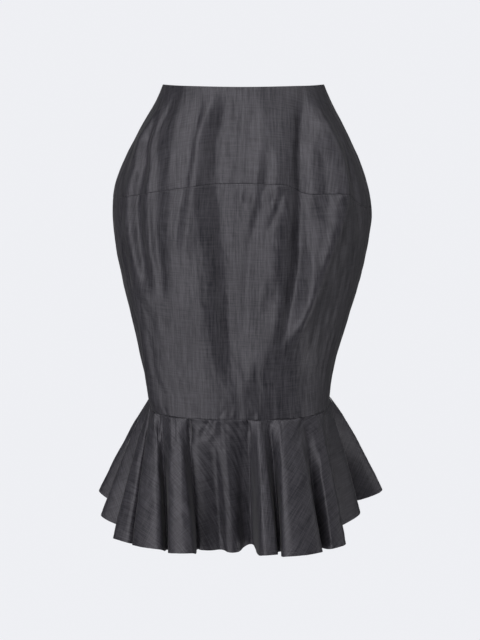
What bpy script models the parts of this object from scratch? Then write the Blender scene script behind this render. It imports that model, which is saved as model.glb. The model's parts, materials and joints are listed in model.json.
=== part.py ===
"""A midi skirt: flared yoke, tapered lower skirt and a deep circular flounce at the knee.

Metres, +Z up.  The origin is the middle of the waist opening, level with the tops of the side
seams.  The wearer faces -Y, so +X is the wearer's left.

A place on the body is a turn and a drop.  The turn runs around it: 0 at the centre front, 1 at
the left side seam, -1 at the right side seam, 2 or -2 at the centre back.  The drop is how far
the place lies below the waist.  Tables are in millimetres, turns and degrees.
"""
import math
from collections import namedtuple

import bmesh
import bpy
import numpy as np
from mathutils import Matrix, Vector

NAME = "midi_skirt"
MM = 0.001

# --- Driving dimensions ---------------------------------------------------------------------
CLOTH = 1.2 * MM                # thickness of the cloth
GAP = 0.3 * MM                  # between pieces that meet

FRONT_COLUMNS = 48              # facets across the front, side seam to side seam
BACK_COLUMNS = 17               # facets across each back half
YOKE_ROWS = 8
YOKE_BACK_ROWS = 5
SKIRT_ROWS = 11
SKIRT_BACK_ROWS = 9
FLOUNCE_ROWS = 3
FLUTE_STEPS = 2                 # facets between two of a flute's own points
FLUTE_SPREAD = 0.90             # below 1 the flounce leaves its seam in a rounded shoulder
FLUTE_FALL = 1.06
TROUGH_HALF = 2.5               # half the width of the cloth's turn at the bottom of a trough
SHOULDER_SET = 0.32             # how far a flute's shoulders lie behind its crest, in half widths

TAPE_HALF = 12 * MM             # the zip tape, each side of the centre back
TAPE_NOTCH = 4.4 * MM           # half width of the notch that the slider sits in
TAPE_THICKNESS = 1.0 * MM
TAPE_END = 3                    # rows of the lower back that the tape runs down
PART_TOP = 1.6 * MM             # half of the opening between the centre back edges, at the waist
PART_LENGTH = 22 * MM           # below this they meet

SLIDER_BELOW_EDGE = 7.0 * MM    # middle of the slider, below the waist edge
SLIDER_BODY = (8.0 * MM, 3.4 * MM, 9.0 * MM)        # across, in depth, along the zip
SLIDER_NECK = (1.1 * MM, 6.0 * MM)                  # across, along the zip
SLIDER_BRIDGE = (4.0 * MM, 1.0 * MM, 8.0 * MM)
BAIL_WIDTH = 1.6 * MM
BAIL_RADIUS = 1.9 * MM
BAIL_HOLE = 1.2 * MM
PIN_HEIGHT = 3.1 * MM           # axis of the pull tab, outside the cloth
TAB_LENGTH = 24 * MM
TAB_THICKNESS = 1.2 * MM
TAB_LEAN = 4                    # degrees by which the tab hangs in towards the cloth

# --- The body's outline ---------------------------------------------------------------------
# Half widths to the wearer's right and left, depths to the front and back, and how much the
# section swells towards its corners.
Section = namedtuple("Section", "drop right left front back swell")
SECTIONS = (
    Section(0, 114, 121, 88, 92, 0.00),
    Section(25, 125, 132, 96, 102, 0.00),
    Section(60, 146, 150.5, 107, 119, 0.01),
    Section(110, 172, 174.5, 122, 139, 0.02),
    Section(150, 186.5, 187.5, 131, 152, 0.03),
    Section(190, 190, 193, 136, 158, 0.03),
    Section(230, 186.5, 189, 136, 155, 0.03),
    Section(290, 175, 176, 132, 145, 0.04),
    Section(350, 162, 158.5, 124, 134, 0.05),
    Section(420, 147, 138.5, 115, 122, 0.07),
    Section(480, 136, 132, 108.5, 113, 0.09),
)

# Where the seams run: the drop at each turn.
SeamPoint = namedtuple("SeamPoint", "turn drop")
WAIST_EDGE = (
    SeamPoint(-2, 8), SeamPoint(-1.5, 5), SeamPoint(-1, 0), SeamPoint(-0.5, 1.5), SeamPoint(0, 3),
    SeamPoint(0.5, 1.5), SeamPoint(1, 0), SeamPoint(1.5, 5), SeamPoint(2, 8),
)
YOKE_SEAM = (
    SeamPoint(-2, 162), SeamPoint(-1.5, 163), SeamPoint(-1, 166), SeamPoint(-0.6, 156.5),
    SeamPoint(-0.35, 145.5), SeamPoint(-0.15, 138), SeamPoint(0.1, 137), SeamPoint(0.24, 141),
    SeamPoint(0.29, 148), SeamPoint(0.54, 155.5), SeamPoint(0.62, 167), SeamPoint(1, 173),
    SeamPoint(1.5, 165), SeamPoint(2, 162),
)
KNEE_SEAM = (
    SeamPoint(-2, 472), SeamPoint(-1, 471), SeamPoint(-0.75, 475), SeamPoint(-0.5, 477),
    SeamPoint(0, 478), SeamPoint(0.5, 477), SeamPoint(0.75, 475), SeamPoint(1, 471), SeamPoint(2, 472),
)

# The largest folds.  A fold's depth is positive for a trough and negative for a ridge.  Its two
# widths are to the wearer's right and left of its line, which passes through three places.
Fold = namedtuple("Fold", "depth right left drop_1 turn_1 drop_2 turn_2 drop_3 turn_3")
FOLDS = (
    Fold(11.0, 12, 12, 0, 0.47, 120, 0.31, 370, 0.245),     # deep, down the front left
    Fold(14.0, 20, 36, 0, -0.11, 130, -0.115, 440, -0.055), # deep and broad, right of the centre
    Fold(-3.5, 9, 9, 20, -0.23, 130, -0.24, 300, -0.31),    # the ridge beside it
    Fold(-4.5, 13, 9, 30, -0.72, 150, -0.62, 310, -0.545),  # first ridge on the right hip
    Fold(6.0, 9, 14, 40, -0.67, 150, -0.555, 300, -0.505),  # trough between the two ridges
    Fold(-3.5, 9, 9, 40, -0.62, 150, -0.475, 300, -0.46),   # second ridge
    Fold(3.0, 9, 13, 30, -0.58, 150, -0.43, 310, -0.41),    # trough behind it
    Fold(-3.0, 12, 22, 0, -0.46, 130, -0.345, 330, -0.36),  # broad swell
    Fold(-2.5, 9, 12, 60, 0.18, 170, 0.16, 380, 0.1),       # arch left of the centre
    Fold(-3.5, 12, 12, 130, 0.25, 240, 0.19, 400, 0.14),    # ridge below it
    Fold(-12.0, 20, 16, 10, 0.51, 170, 0.505, 385, 0.275),  # crest of the left hip, coming in low down
    Fold(-10.0, 50, 30, -20, 0.57, 150, 0.6, 410, 0.31),    # the swell that carries the crest
    Fold(3.5, 10, 10, 30, 0.64, 131, 0.59, 240, 0.71),      # trough outside the crest
    Fold(-8.0, 12, 46, 255, -0.64, 354, -0.62, 490, -0.68), # low swell on the right
    Fold(5.5, 18, 18, 25, 1.30, 140, 1.36, 300, 1.45),      # the hidden side has like ones
    Fold(-4.0, 17, 17, 35, 1.58, 140, 1.60, 260, 1.66),
    Fold(4.5, 18, 18, 60, 1.78, 170, 1.80, 330, 1.84),
    Fold(5.0, 18, 18, 40, -1.24, 150, -1.22, 280, -1.30),
    Fold(-4.0, 17, 17, 30, -1.44, 140, -1.50, 270, -1.56),
    Fold(6.0, 18, 18, 15, -1.62, 120, -1.70, 310, -1.76),
)
FOLD_FADE = 0.30                # share of its length over which a fold dies away at each end

# The flounce hangs in flutes.  Each row gives where the trough before the flute ends at the hem
# in plan, the turns at which that trough and the flute's crest leave the knee seam, where the
# crest ends at the hem, the way its face looks, half of that face's width, and the length of
# the flounce there.
Flute = namedtuple("Flute", "trough_at trough_reach trough_seam seam crest_at crest_reach "
                            "facing half_width length")
FLUTES = (
    Flute(-87, 160, -0.955, -0.87, -61, 206, -40, 17, 207),
    Flute(-58, 170, -0.80, -0.68, -44.5, 199, -25, 24, 201),
    Flute(-45, 151, -0.56, -0.45, -28.8, 180, -7, 17.5, 196.5),
    Flute(-33, 113, -0.355, -0.16, -10.5, 99, -8, 14, 202),
    Flute(10, 81, 0.04, 0.115, 14, 170, 5, 10.5, 193),
    Flute(25, 133, 0.19, 0.32, 29.2, 187, 18, 29.5, 196),
    Flute(49, 149, 0.445, 0.57, 52, 185, 40, 15, 196),
    Flute(82, 137, 0.70, 0.84, 102.5, 190, 102, 11, 203),
    Flute(115, 176, 0.985, 1.13, 114, 244, 114, 11, 203),
    Flute(122, 176, 1.24, 1.35, 130, 229, 130, 15, 200),
    Flute(139, 174, 1.455, 1.56, 147, 228, 147, 17, 200),
    Flute(157, 166, 1.665, 1.77, 165, 230, 165, 17, 200),
    Flute(174, 168, 1.865, 1.96, 182, 226, 182, 17, 200),
    Flute(190, 166, 2.05, 2.14, 197, 226, 197, 17, 200),
    Flute(207, 166, 2.235, 2.33, 215, 232, 215, 17, 200),
    Flute(225, 172, 2.425, 2.52, 231, 229, 231, 15, 200),
    Flute(239, 178, 2.625, 2.73, 245, 248, 245, 11, 202),
    Flute(248, 190, 2.845, 2.96, 263, 218, 263, 12, 204),
)
FRONT_FLUTES = 8                # the first rows, from one side seam to the other


# --- Working out places on the skirt --------------------------------------------------------
def through(points, at):
    """A smooth curve through (x, y) points, read at the given places."""
    x, y = np.array([tuple(p) for p in points], float).T
    slope = np.gradient(y, x)
    at = np.clip(np.asarray(at, float), x[0], x[-1])
    i = np.clip(np.searchsorted(x, at) - 1, 0, len(x) - 2)
    span = x[i + 1] - x[i]
    t = (at - x[i]) / span
    return (y[i] + t * span * slope[i]
            + t * t * (3 * (y[i + 1] - y[i]) - span * (2 * slope[i] + slope[i + 1]))
            + t ** 3 * (span * (slope[i] + slope[i + 1]) - 2 * (y[i + 1] - y[i])))


def body(turn, drop):
    """Points of the smooth body, in millimetres."""
    turn, drop = np.broadcast_arrays(np.asarray(turn, float), np.asarray(drop, float))
    right, left, front, back, swell = (
        through([(s.drop, s[k]) for s in SECTIONS], drop) for k in range(1, len(Section._fields)))
    sine, cosine = np.sin(turn * math.pi / 2), np.cos(turn * math.pi / 2)
    corner = 1 + swell * (2 * sine * cosine) ** 2
    across = np.where(sine >= 0, left, right) * sine * corner
    along = -np.where(cosine >= 0, front, back) * cosine * corner
    return np.stack([across, along, -drop], -1)


def outward(turn, drop):
    """Level directions out of the body, and the millimetres that one turn covers there."""
    small = 1e-3
    step = (body(turn + small, drop) - body(turn - small, drop)) / (2 * small)
    size = np.linalg.norm(step, axis=-1)
    out = np.stack([step[..., 1], -step[..., 0], np.zeros_like(size)], -1)
    return out / size[..., None], size


def soft_step(t):
    t = np.clip(t, 0, 1)
    return t * t * (3 - 2 * t)


def folded(turn, drop):
    """Points of the body with its folds, in metres."""
    out, size = outward(turn, drop)
    inward = np.zeros_like(size)
    for fold in FOLDS:
        line = through([fold[3:5], fold[5:7], fold[7:9]], drop)
        aside = (turn - line) * size
        across = np.exp(-(aside / np.where(aside < 0, fold.right, fold.left)) ** 2)
        down = (drop - fold.drop_1) / (fold.drop_3 - fold.drop_1)
        inward += fold.depth * across * soft_step(down / FOLD_FADE) * soft_step((1 - down) / FOLD_FADE)
    return (body(turn, drop) - out * inward[..., None]) * MM


def body_grid(turns, top, bottom, rows):
    """Rows of points between two seams, from the top down."""
    share = np.linspace(0, 1, rows + 1)[:, None]
    turns = np.asarray(turns)[None, :]
    start, end = through(top, turns), through(bottom, turns)
    drop = start + (end - start) * share
    return folded(turns + 0 * share, drop)


def draw_in(edge, inner, distance):
    """An edge's points, moved towards the next points in by the given distance."""
    step = inner - edge
    return edge + step / np.linalg.norm(step, axis=-1, keepdims=True) * np.reshape(distance, (-1, 1))


def seamed(grid, first=GAP / 2, last=GAP / 2):
    """The grid with its edges drawn in, so that it stays clear of the pieces it is sewn to."""
    grid = grid.copy()
    grid[0] = draw_in(grid[0], grid[1], GAP / 2)
    grid[-1] = draw_in(grid[-1], grid[-2], GAP / 2)
    grid[:, 0] = draw_in(grid[:, 0], grid[:, 1], first)
    grid[:, -1] = draw_in(grid[:, -1], grid[:, -2], last)
    return grid


def plan_point(degrees, reach):
    """A point in plan, its angle measured from the centre front towards the wearer's left."""
    angle = math.radians(degrees)
    return np.array([reach * math.sin(angle), -reach * math.cos(angle)])


def closed_curve(points, steps):
    """A smooth closed curve through points in plan, with even steps between each two."""
    points = np.asarray(points)
    before, after, beyond = (np.roll(points, shift, axis=0) for shift in (1, -1, -2))
    reach = [np.sqrt(np.linalg.norm(b - a, axis=1))[:, None]
             for a, b in ((before, points), (points, after), (after, beyond))]
    leave = ((points - before) / reach[0] - (after - before) / (reach[0] + reach[1])) * reach[1]
    leave += after - points
    arrive = ((beyond - after) / reach[2] - (beyond - points) / (reach[1] + reach[2])) * reach[1]
    arrive += after - points
    curve = []
    for step in range(steps):
        t = step / steps
        curve.append(points * (2 * t ** 3 - 3 * t * t + 1) + leave * (t ** 3 - 2 * t * t + t)
                     + after * (3 * t * t - 2 * t ** 3) + arrive * (t ** 3 - t * t))
    return np.stack(curve, 1).reshape(-1, 2)


def flounce_grid():
    """The whole flounce: rows from the knee seam to the hem, columns once around it."""
    hem, seams, lengths = [], [], []
    previous = FLUTES[-1]
    for flute in FLUTES:
        crest = plan_point(flute.crest_at, flute.crest_reach)
        face = plan_point(flute.facing, 1)
        aside = np.array([-face[1], face[0]])
        shoulder = crest - face * SHOULDER_SET * flute.half_width
        trough = plan_point(flute.trough_at, flute.trough_reach)
        turn_over = plan_point(flute.trough_at + 90, TROUGH_HALF)
        hem += [trough - turn_over, trough + turn_over, shoulder - aside * flute.half_width,
                crest, shoulder + aside * flute.half_width]
        seams += [flute.trough_seam, flute.seam]
        lengths += [(previous.length + flute.length) / 2] * 2 + [flute.length] * 3
        previous = flute
    columns = len(hem) * FLUTE_STEPS
    half_turn = FLUTE_STEPS // 2    # the first column is the middle of the first trough
    curve = np.roll(closed_curve(hem, FLUTE_STEPS), -half_turn, axis=0)
    around = np.r_[0, np.cumsum(np.linalg.norm(np.roll(curve, -1, axis=0) - curve, axis=1))]
    known = np.linspace(0, columns, 2 * len(FLUTES) + 1)
    turn = np.interp(around[:-1], np.interp(known, np.arange(columns + 1), around), seams + [seams[0] + 4])
    turn = (turn + 2) % 4 - 2
    top = body(turn, through(KNEE_SEAM, turn))
    place = (np.arange(columns) + half_turn) / FLUTE_STEPS
    length = np.interp(place, np.arange(len(hem) + 1), lengths + lengths[:1])
    away = curve - top[:, :2]
    fall = np.sqrt(length ** 2 - (away ** 2).sum(1))
    share = np.linspace(0, 1, FLOUNCE_ROWS + 1)[:, None]
    plan = top[:, :2] + away * share[..., None] ** FLUTE_SPREAD
    height = top[:, 2] - fall * share ** FLUTE_FALL
    return np.concatenate([plan, height[..., None]], -1) * MM


# --- Making the pieces ----------------------------------------------------------------------
def material(name, colour, roughness, metallic=0.0):
    """A plain Principled material."""
    made = bpy.data.materials.new(name)
    made.use_nodes = True
    shader = made.node_tree.nodes["Principled BSDF"]
    shader.inputs["Base Color"].default_value = (*colour, 1)
    shader.inputs["Roughness"].default_value = roughness
    shader.inputs["Metallic"].default_value = metallic
    made.diffuse_color = (*colour, 1)
    return made


def add_object(name, mesh, finish):
    mesh.materials.append(finish)
    made = bpy.data.objects.new(name, mesh)
    bpy.data.collections[NAME].objects.link(made)
    return made


def add_cloth(name, grid, finish, thickness=CLOTH, missing=()):
    """A flat grid moved onto the given points, then thickened inwards.

    missing names cells, as (row, column), that are left out.
    """
    rows, columns = grid.shape[0] - 1, grid.shape[1] - 1
    bm = bmesh.new()
    bmesh.ops.create_grid(bm, x_segments=columns, y_segments=rows, size=0.5)
    cell = {}
    for face in bm.faces:
        middle = face.calc_center_median()
        cell[int((0.5 - middle.y) * rows), int((middle.x + 0.5) * columns)] = face
    bmesh.ops.delete(bm, geom=[cell[key] for key in missing], context="FACES")
    for vert in bm.verts:
        row, column = round((0.5 - vert.co.y) * rows), round((vert.co.x + 0.5) * columns)
        vert.co = grid[row, column]
    mesh = bpy.data.meshes.new(name)
    bm.to_mesh(mesh)
    bm.free()
    mesh.shade_smooth()
    made = add_object(name, mesh, finish)
    wall = made.modifiers.new("wall", "SOLIDIFY")
    wall.thickness = thickness
    wall.offset = -1
    return made


def make_body(finish):
    """The front and the two back halves, each in a yoke and a lower piece; gives the back grids."""
    front = np.linspace(-1, 1, FRONT_COLUMNS + 1)
    backs = {"left": np.linspace(1, 2, BACK_COLUMNS + 1), "right": np.linspace(-2, -1, BACK_COLUMNS + 1)}
    add_cloth("yoke_front", seamed(body_grid(front, WAIST_EDGE, YOKE_SEAM, YOKE_ROWS)), finish)
    add_cloth("skirt_front", seamed(body_grid(front, YOKE_SEAM, KNEE_SEAM, SKIRT_ROWS)), finish)
    grids = {}
    for side, turns in backs.items():
        centre = "last" if side == "left" else "first"
        yoke = body_grid(turns, WAIST_EDGE, YOKE_SEAM, YOKE_BACK_ROWS)
        below_edge = (yoke[0, 0, 2] - yoke[:, 0, 2]) / PART_LENGTH
        parting = GAP / 2 + (PART_TOP - GAP / 2) * np.clip(1 - below_edge, 0, 1)
        yoke = seamed(yoke, **{centre: parting})
        lower = seamed(body_grid(turns, YOKE_SEAM, KNEE_SEAM, SKIRT_BACK_ROWS))
        add_cloth(f"yoke_back_{side}", yoke, finish)
        add_cloth(f"skirt_back_{side}", lower, finish)
        grids[side] = np.concatenate([yoke, lower[1:TAPE_END + 1]])
    return grids


def make_flounce(finish):
    """The flounce in a front and a back piece, sewn together in two of its troughs."""
    grid = flounce_grid()
    split = grid.shape[1] * FRONT_FLUTES // len(FLUTES)
    add_cloth("flounce_front", seamed(grid[:, :split + 1]), finish)
    back = np.concatenate([grid[:, split:], grid[:, :1]], axis=1)
    add_cloth("flounce_back", seamed(back), finish)


def row_at(grid, place):
    """A row of a grid, or one part of the way between two rows."""
    low = min(int(place), len(grid) - 2)
    return grid[low] + (grid[low + 1] - grid[low]) * (place - low)


def zip_frame(grids):
    """Where the slider sits: its place, and the directions out of the cloth and up it."""
    top = (grids["left"][0, -1] + grids["right"][0, 0]) / 2
    below = (grids["left"][1, -1] + grids["right"][1, 0]) / 2
    up = (top - below) / np.linalg.norm(top - below)
    out = np.array([0, up[2], -up[1]])
    return Vector(top - up * SLIDER_BELOW_EDGE), Vector(out), Vector(up)


def make_tape(grids, finish):
    """The zip tape, on the inner face of the centre back edges, with a notch for the slider."""
    edge_rows = len(grids["left"])
    first_row = np.linalg.norm(grids["left"][1, -1] - grids["left"][0, -1])
    notch_row = (SLIDER_BELOW_EDGE + SLIDER_BODY[2] / 2 + GAP) / first_row
    places = [0.03, notch_row] + list(range(1, edge_rows - 1)) + [edge_rows - 1.4]
    left = np.array([row_at(grids["left"], place) for place in places])
    right = np.array([row_at(grids["right"], place) for place in places])
    tape = np.stack([draw_in(edge, inner, distance) for edge, inner, distance in (
        (left[:, -1], left[:, -2], TAPE_HALF), (left[:, -1], left[:, -2], TAPE_NOTCH),
        (right[:, 0], right[:, 1], TAPE_NOTCH), (right[:, 0], right[:, 1], TAPE_HALF))], axis=1)
    inward = np.cross(np.gradient(tape, axis=1), np.gradient(tape, axis=0))
    inward /= np.linalg.norm(inward, axis=-1, keepdims=True)
    add_cloth("zip_tape", tape + inward * (CLOTH + GAP), finish, TAPE_THICKNESS, missing=[(0, 1)])


def box(size, centre):
    """A box, sized across the zip, out of the cloth and along the zip."""
    bm = bmesh.new()
    bmesh.ops.create_cube(bm, size=1, matrix=Matrix.Translation(centre) @ Matrix.Diagonal((*size, 1)))
    return bm


def join_solids(name, solids):
    """One mesh from overlapping solids, by Boolean union."""
    made = []
    for number, bm in enumerate(solids):
        mesh = bpy.data.meshes.new(f"{name}_{number}")
        bm.to_mesh(mesh)
        bm.free()
        made.append(bpy.data.objects.new(mesh.name, mesh))
        bpy.context.scene.collection.objects.link(made[-1])
    for other in made[1:]:
        union = made[0].modifiers.new("union", "BOOLEAN")
        union.operation = "UNION"
        union.object = other
    bpy.context.view_layer.update()
    evaluated = made[0].evaluated_get(bpy.context.evaluated_depsgraph_get())
    joined = bpy.data.meshes.new_from_object(evaluated)
    joined.name = name
    for part in made:
        bpy.data.objects.remove(part)
    return joined


def outline_mesh(name, loops, thickness):
    """A flat outline with its holes, filled and extruded to a thickness, as a mesh."""
    curve = bpy.data.curves.new(name, "CURVE")
    curve.dimensions = "2D"
    curve.fill_mode = "BOTH"
    curve.extrude = thickness / 2
    for loop in loops:
        spline = curve.splines.new("POLY")
        spline.points.add(len(loop) - 1)
        spline.use_cyclic_u = True
        for point, (x, y) in zip(spline.points, loop):
            point.co = (x, y, 0, 1)
    guide = bpy.data.objects.new(name, curve)
    bpy.context.scene.collection.objects.link(guide)
    bpy.context.view_layer.update()
    mesh = bpy.data.meshes.new_from_object(guide.evaluated_get(bpy.context.evaluated_depsgraph_get()))
    bpy.data.objects.remove(guide)
    bm = bmesh.new()
    bm.from_mesh(mesh)
    bmesh.ops.remove_doubles(bm, verts=bm.verts, dist=0.01 * MM)
    bpy.data.meshes.remove(mesh)
    return bm


def arc(radius, start, end, steps, centre=(0, 0)):
    """Points on an arc, its angles in degrees."""
    angles = np.radians(np.linspace(start, end, steps + 1))
    return [(centre[0] + radius * math.cos(a), centre[1] + radius * math.sin(a)) for a in angles]


def make_slider(frame, finish):
    """The slider: a body inside the cloth, a neck between its edges, and the bail outside."""
    body_width, body_depth, body_length = SLIDER_BODY
    inner_face = -CLOTH - GAP
    inside = box((body_width, body_depth, body_length), (0, inner_face - body_depth / 2, 0))
    neck_height = 2 * GAP - inner_face + GAP
    neck = box((SLIDER_NECK[0], neck_height, SLIDER_NECK[1]), (0, 2 * GAP - neck_height / 2, 0))
    bridge = box(SLIDER_BRIDGE, (0, GAP + SLIDER_BRIDGE[1] / 2, 0))
    foot = GAP + SLIDER_BRIDGE[1] / 2
    arch = arc(BAIL_RADIUS, 0, 180, 12, (0, PIN_HEIGHT)) + [(-BAIL_RADIUS, foot), (BAIL_RADIUS, foot)]
    hole = arc(BAIL_HOLE, 0, 330, 11, (0, PIN_HEIGHT))
    bail = outline_mesh("bail", [arch, hole], BAIL_WIDTH)
    bmesh.ops.rotate(bail, matrix=Matrix.Rotation(math.radians(90), 3, "Y"), verts=bail.verts)
    mesh = join_solids("zip_slider", [inside, neck, bridge, bail])
    slider = add_object("zip_slider", mesh, finish)
    slider.parent = frame


def make_tab(frame, finish):
    """The pull tab: a drop-shaped plate, whose top bar runs through the bail."""
    bar, slot_half, slot_end = 0.6 * MM, 1.4 * MM, 3.2 * MM
    neck_half, drop_half = 2.8 * MM, 3.3 * MM
    tip = TAB_LENGTH - drop_half
    outline = [(-neck_half, bar), (neck_half, bar), (neck_half * 0.72, -TAB_LENGTH * 0.42)]
    outline += [(x, y) for x, y in arc(drop_half, 0, -180, 10, (0, -tip))]
    outline += [(-neck_half * 0.72, -TAB_LENGTH * 0.42)]
    slot = [(-slot_half, -bar), (slot_half, -bar), (slot_half, -slot_end), (-slot_half, -slot_end)]
    plate = outline_mesh("pull_tab", [outline, slot], TAB_THICKNESS)
    bmesh.ops.rotate(plate, matrix=Matrix.Rotation(math.radians(90), 3, "X"), verts=plate.verts)
    mesh = bpy.data.meshes.new("pull_tab")
    plate.to_mesh(mesh)
    plate.free()
    tab = add_object("pull_tab", mesh, finish)
    tab.parent = frame


def add_empty(name, place, out, up):
    """An empty whose axes run across the back, out of the cloth and up it."""
    empty = bpy.data.objects.new(name, None)
    axes = Matrix((Vector((1, 0, 0)), out, up)).transposed()
    empty.matrix_world = Matrix.Translation(place) @ axes.to_4x4()
    bpy.data.collections[NAME].objects.link(empty)
    return empty


def main():
    for thing in list(bpy.data.objects):
        bpy.data.objects.remove(thing)
    bpy.context.scene.collection.children.link(bpy.data.collections.new(NAME))
    cloth = material("charcoal_cloth", (0.055, 0.054, 0.062), 0.55)
    tape = material("tape_cloth", (0.03, 0.03, 0.033), 0.75)
    metal = material("dark_metal", (0.09, 0.09, 0.095), 0.35, 1.0)
    grids = make_body(cloth)
    make_flounce(cloth)
    make_tape(grids, tape)
    place, out, up = zip_frame(grids)
    make_slider(add_empty("slider_frame", place, out, up), metal)
    lean = Matrix.Rotation(-math.radians(TAB_LEAN), 3, "X")
    make_tab(add_empty("tab_pin", place + out * PIN_HEIGHT, lean @ out, lean @ up), metal)


main()
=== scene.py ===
"""The looks of the midi skirt: its cloth, seams, zip and finishes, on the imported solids.

+Z is up and the wearer faces -Y.  Right and left are the wearer's.  A place on the body is a turn
and a drop.  The turn runs around it: 0 at the centre front, 1 at the left side seam, -1 at the
right side seam, 2 or -2 at the centre back.  The drop is how far the place lies below the waist.
The garment's sizes are in millimetres, turns and degrees, and the studio's are in metres.
"""
import json
import math
from collections import namedtuple

import bmesh
import bpy
import numpy as np
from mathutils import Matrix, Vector

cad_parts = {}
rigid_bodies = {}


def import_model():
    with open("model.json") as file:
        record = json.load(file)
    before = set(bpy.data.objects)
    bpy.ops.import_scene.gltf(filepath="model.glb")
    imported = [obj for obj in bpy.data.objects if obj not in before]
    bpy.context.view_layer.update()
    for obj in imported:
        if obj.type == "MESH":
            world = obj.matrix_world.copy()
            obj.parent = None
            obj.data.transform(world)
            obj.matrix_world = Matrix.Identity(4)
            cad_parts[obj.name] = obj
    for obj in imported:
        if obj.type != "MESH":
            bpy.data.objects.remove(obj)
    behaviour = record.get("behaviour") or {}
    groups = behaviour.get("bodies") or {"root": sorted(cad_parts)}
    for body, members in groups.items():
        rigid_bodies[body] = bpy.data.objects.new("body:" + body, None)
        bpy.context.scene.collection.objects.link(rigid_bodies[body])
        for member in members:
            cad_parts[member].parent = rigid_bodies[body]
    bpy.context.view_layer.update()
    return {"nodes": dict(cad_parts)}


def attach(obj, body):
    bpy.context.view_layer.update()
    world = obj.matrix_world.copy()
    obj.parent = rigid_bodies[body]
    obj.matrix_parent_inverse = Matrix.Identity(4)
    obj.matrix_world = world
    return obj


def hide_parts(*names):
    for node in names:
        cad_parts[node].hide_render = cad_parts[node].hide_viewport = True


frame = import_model()

MM = 0.001

# --- The cloth ------------------------------------------------------------------------------
CLOTH = 0.8                     # thickness of one layer
FOLD_IN = 1.35                  # how far in from the outer face a folded edge lies
EDGE_IN = 0.3                   # how far in the very edge lies
SEAM_FOLD = 9.0                 # seam allowance, turned back inside
WAIST_FOLD = 24.0               # the waist is turned in this far
HEM_FOLD = 6.0                  # the flounce's narrow hem
TUCK_ROWS = (9.0, 7.5, 6.0, 4.5, 3.0, 1.8, 0.8)     # the flounce's allowance, up behind the skirt
TUCK_IN = 2.6
SEAM_SINK = 0.2                 # how far the cloth dips into a seam, and half of the dip's width
SEAM_HALF = 1.3
BACK_SINK = SEAM_SINK / 2       # the centre back's seam, pressed over the zip, dips less
HEM_SINK = 0.25                 # the hem's stitching pulls a shallow groove
HEM_HALF = 0.8
SIDE_GAP = 0.03                 # half of the gap between side edges that meet
PART_TOP = 1.45                 # half of the extra opening at the waist, above the zip's slider
PART_LENGTH = 30.0              # it closes over this length
PART_FADE = 12.0                # and eases into the cloth beside it over this width

EDGE_FINE = 0.5                 # rows and columns stand this close near the edges of a piece
EDGE_BAND = HEM_FOLD + 2        # this far in
FRONT_COLUMN, BACK_COLUMN = 2.4, 3.0        # and this close elsewhere
ROW, FLOUNCE_ROW = 2.8, 3.5
QUARTER = 270                   # usual length of one turn
FLOUNCE_LENGTH = 200            # usual length of the flounce

# --- The zip --------------------------------------------------------------------------------
TAPE_IN = 2.7                   # its tapes lie this far in from the outer face
TAPE_TOP = 1.5                  # their ends, below the waist edge
TAPE_LENGTH = 240.0
TAPE_HALF = 12.0                # their outer edges, from the centre back
TAPE_MEET = 0.35                # their inner edges below the slider
TAPE_NOTCH = 4.6                # and beside it
TAPE_ROWS, TAPE_COLUMNS = 121, 9
SLIDER_AT = 5.5                 # middle of the slider, below the tapes' ends
CLOSING_AT, CLOSING_OVER = 4.0, 7.0         # below it the inner edges draw together
COIL_PITCH = 1.5
COIL_START = 6.0                # the coil's first bead shows this far below the slider's middle
COIL_END = 2.0                  # beads are spaced from here, and stop as far short of the end
COIL_IN = 1.25                  # from the tapes' outer face to the middle of the coil
COIL_REACH = (-1.0, 1.4)        # a bead lies between these, from its tape's inner edge
BEAD_HALF, BEAD_RADIUS = 1.2, 0.5
BEAD_RINGS, BEAD_SIDES = 6, 8

# --- The body's outline ---------------------------------------------------------------------
# Half widths to the right and left, depths to the front and back, and a swell at the corners.
Section = namedtuple("Section", "drop right left front back swell")
SECTIONS = (
    Section(0, 114, 121, 88, 92, 0.00),
    Section(25, 125, 132, 96, 102, 0.00),
    Section(60, 146, 150.5, 107, 119, 0.01),
    Section(110, 172, 174.5, 122, 139, 0.02),
    Section(150, 186.5, 187.5, 131, 152, 0.03),
    Section(190, 190, 193, 136, 158, 0.03),
    Section(230, 186.5, 189, 136, 155, 0.03),
    Section(290, 175, 176, 132, 145, 0.04),
    Section(350, 162, 158.5, 124, 134, 0.05),
    Section(420, 147, 138.5, 115, 122, 0.07),
    Section(480, 136, 132, 108.5, 113, 0.09),
)
SeamPoint = namedtuple("SeamPoint", "turn drop")
WAIST_EDGE = (
    SeamPoint(-2, 8), SeamPoint(-1.5, 5), SeamPoint(-1, 0), SeamPoint(-0.5, 1.5), SeamPoint(0, 3),
    SeamPoint(0.5, 1.5), SeamPoint(1, 0), SeamPoint(1.5, 5), SeamPoint(2, 8),
)
YOKE_SEAM = (
    SeamPoint(-2, 162), SeamPoint(-1.5, 163), SeamPoint(-1, 166), SeamPoint(-0.6, 156.5),
    SeamPoint(-0.35, 145.5), SeamPoint(-0.15, 138), SeamPoint(0.1, 137), SeamPoint(0.24, 141),
    SeamPoint(0.29, 148), SeamPoint(0.54, 155.5), SeamPoint(0.62, 167), SeamPoint(1, 173),
    SeamPoint(1.5, 165), SeamPoint(2, 162),
)
KNEE_SEAM = (
    SeamPoint(-2, 472), SeamPoint(-1, 471), SeamPoint(-0.75, 475), SeamPoint(-0.5, 477),
    SeamPoint(0, 478), SeamPoint(0.5, 477), SeamPoint(0.75, 475), SeamPoint(1, 471), SeamPoint(2, 472),
)

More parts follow.
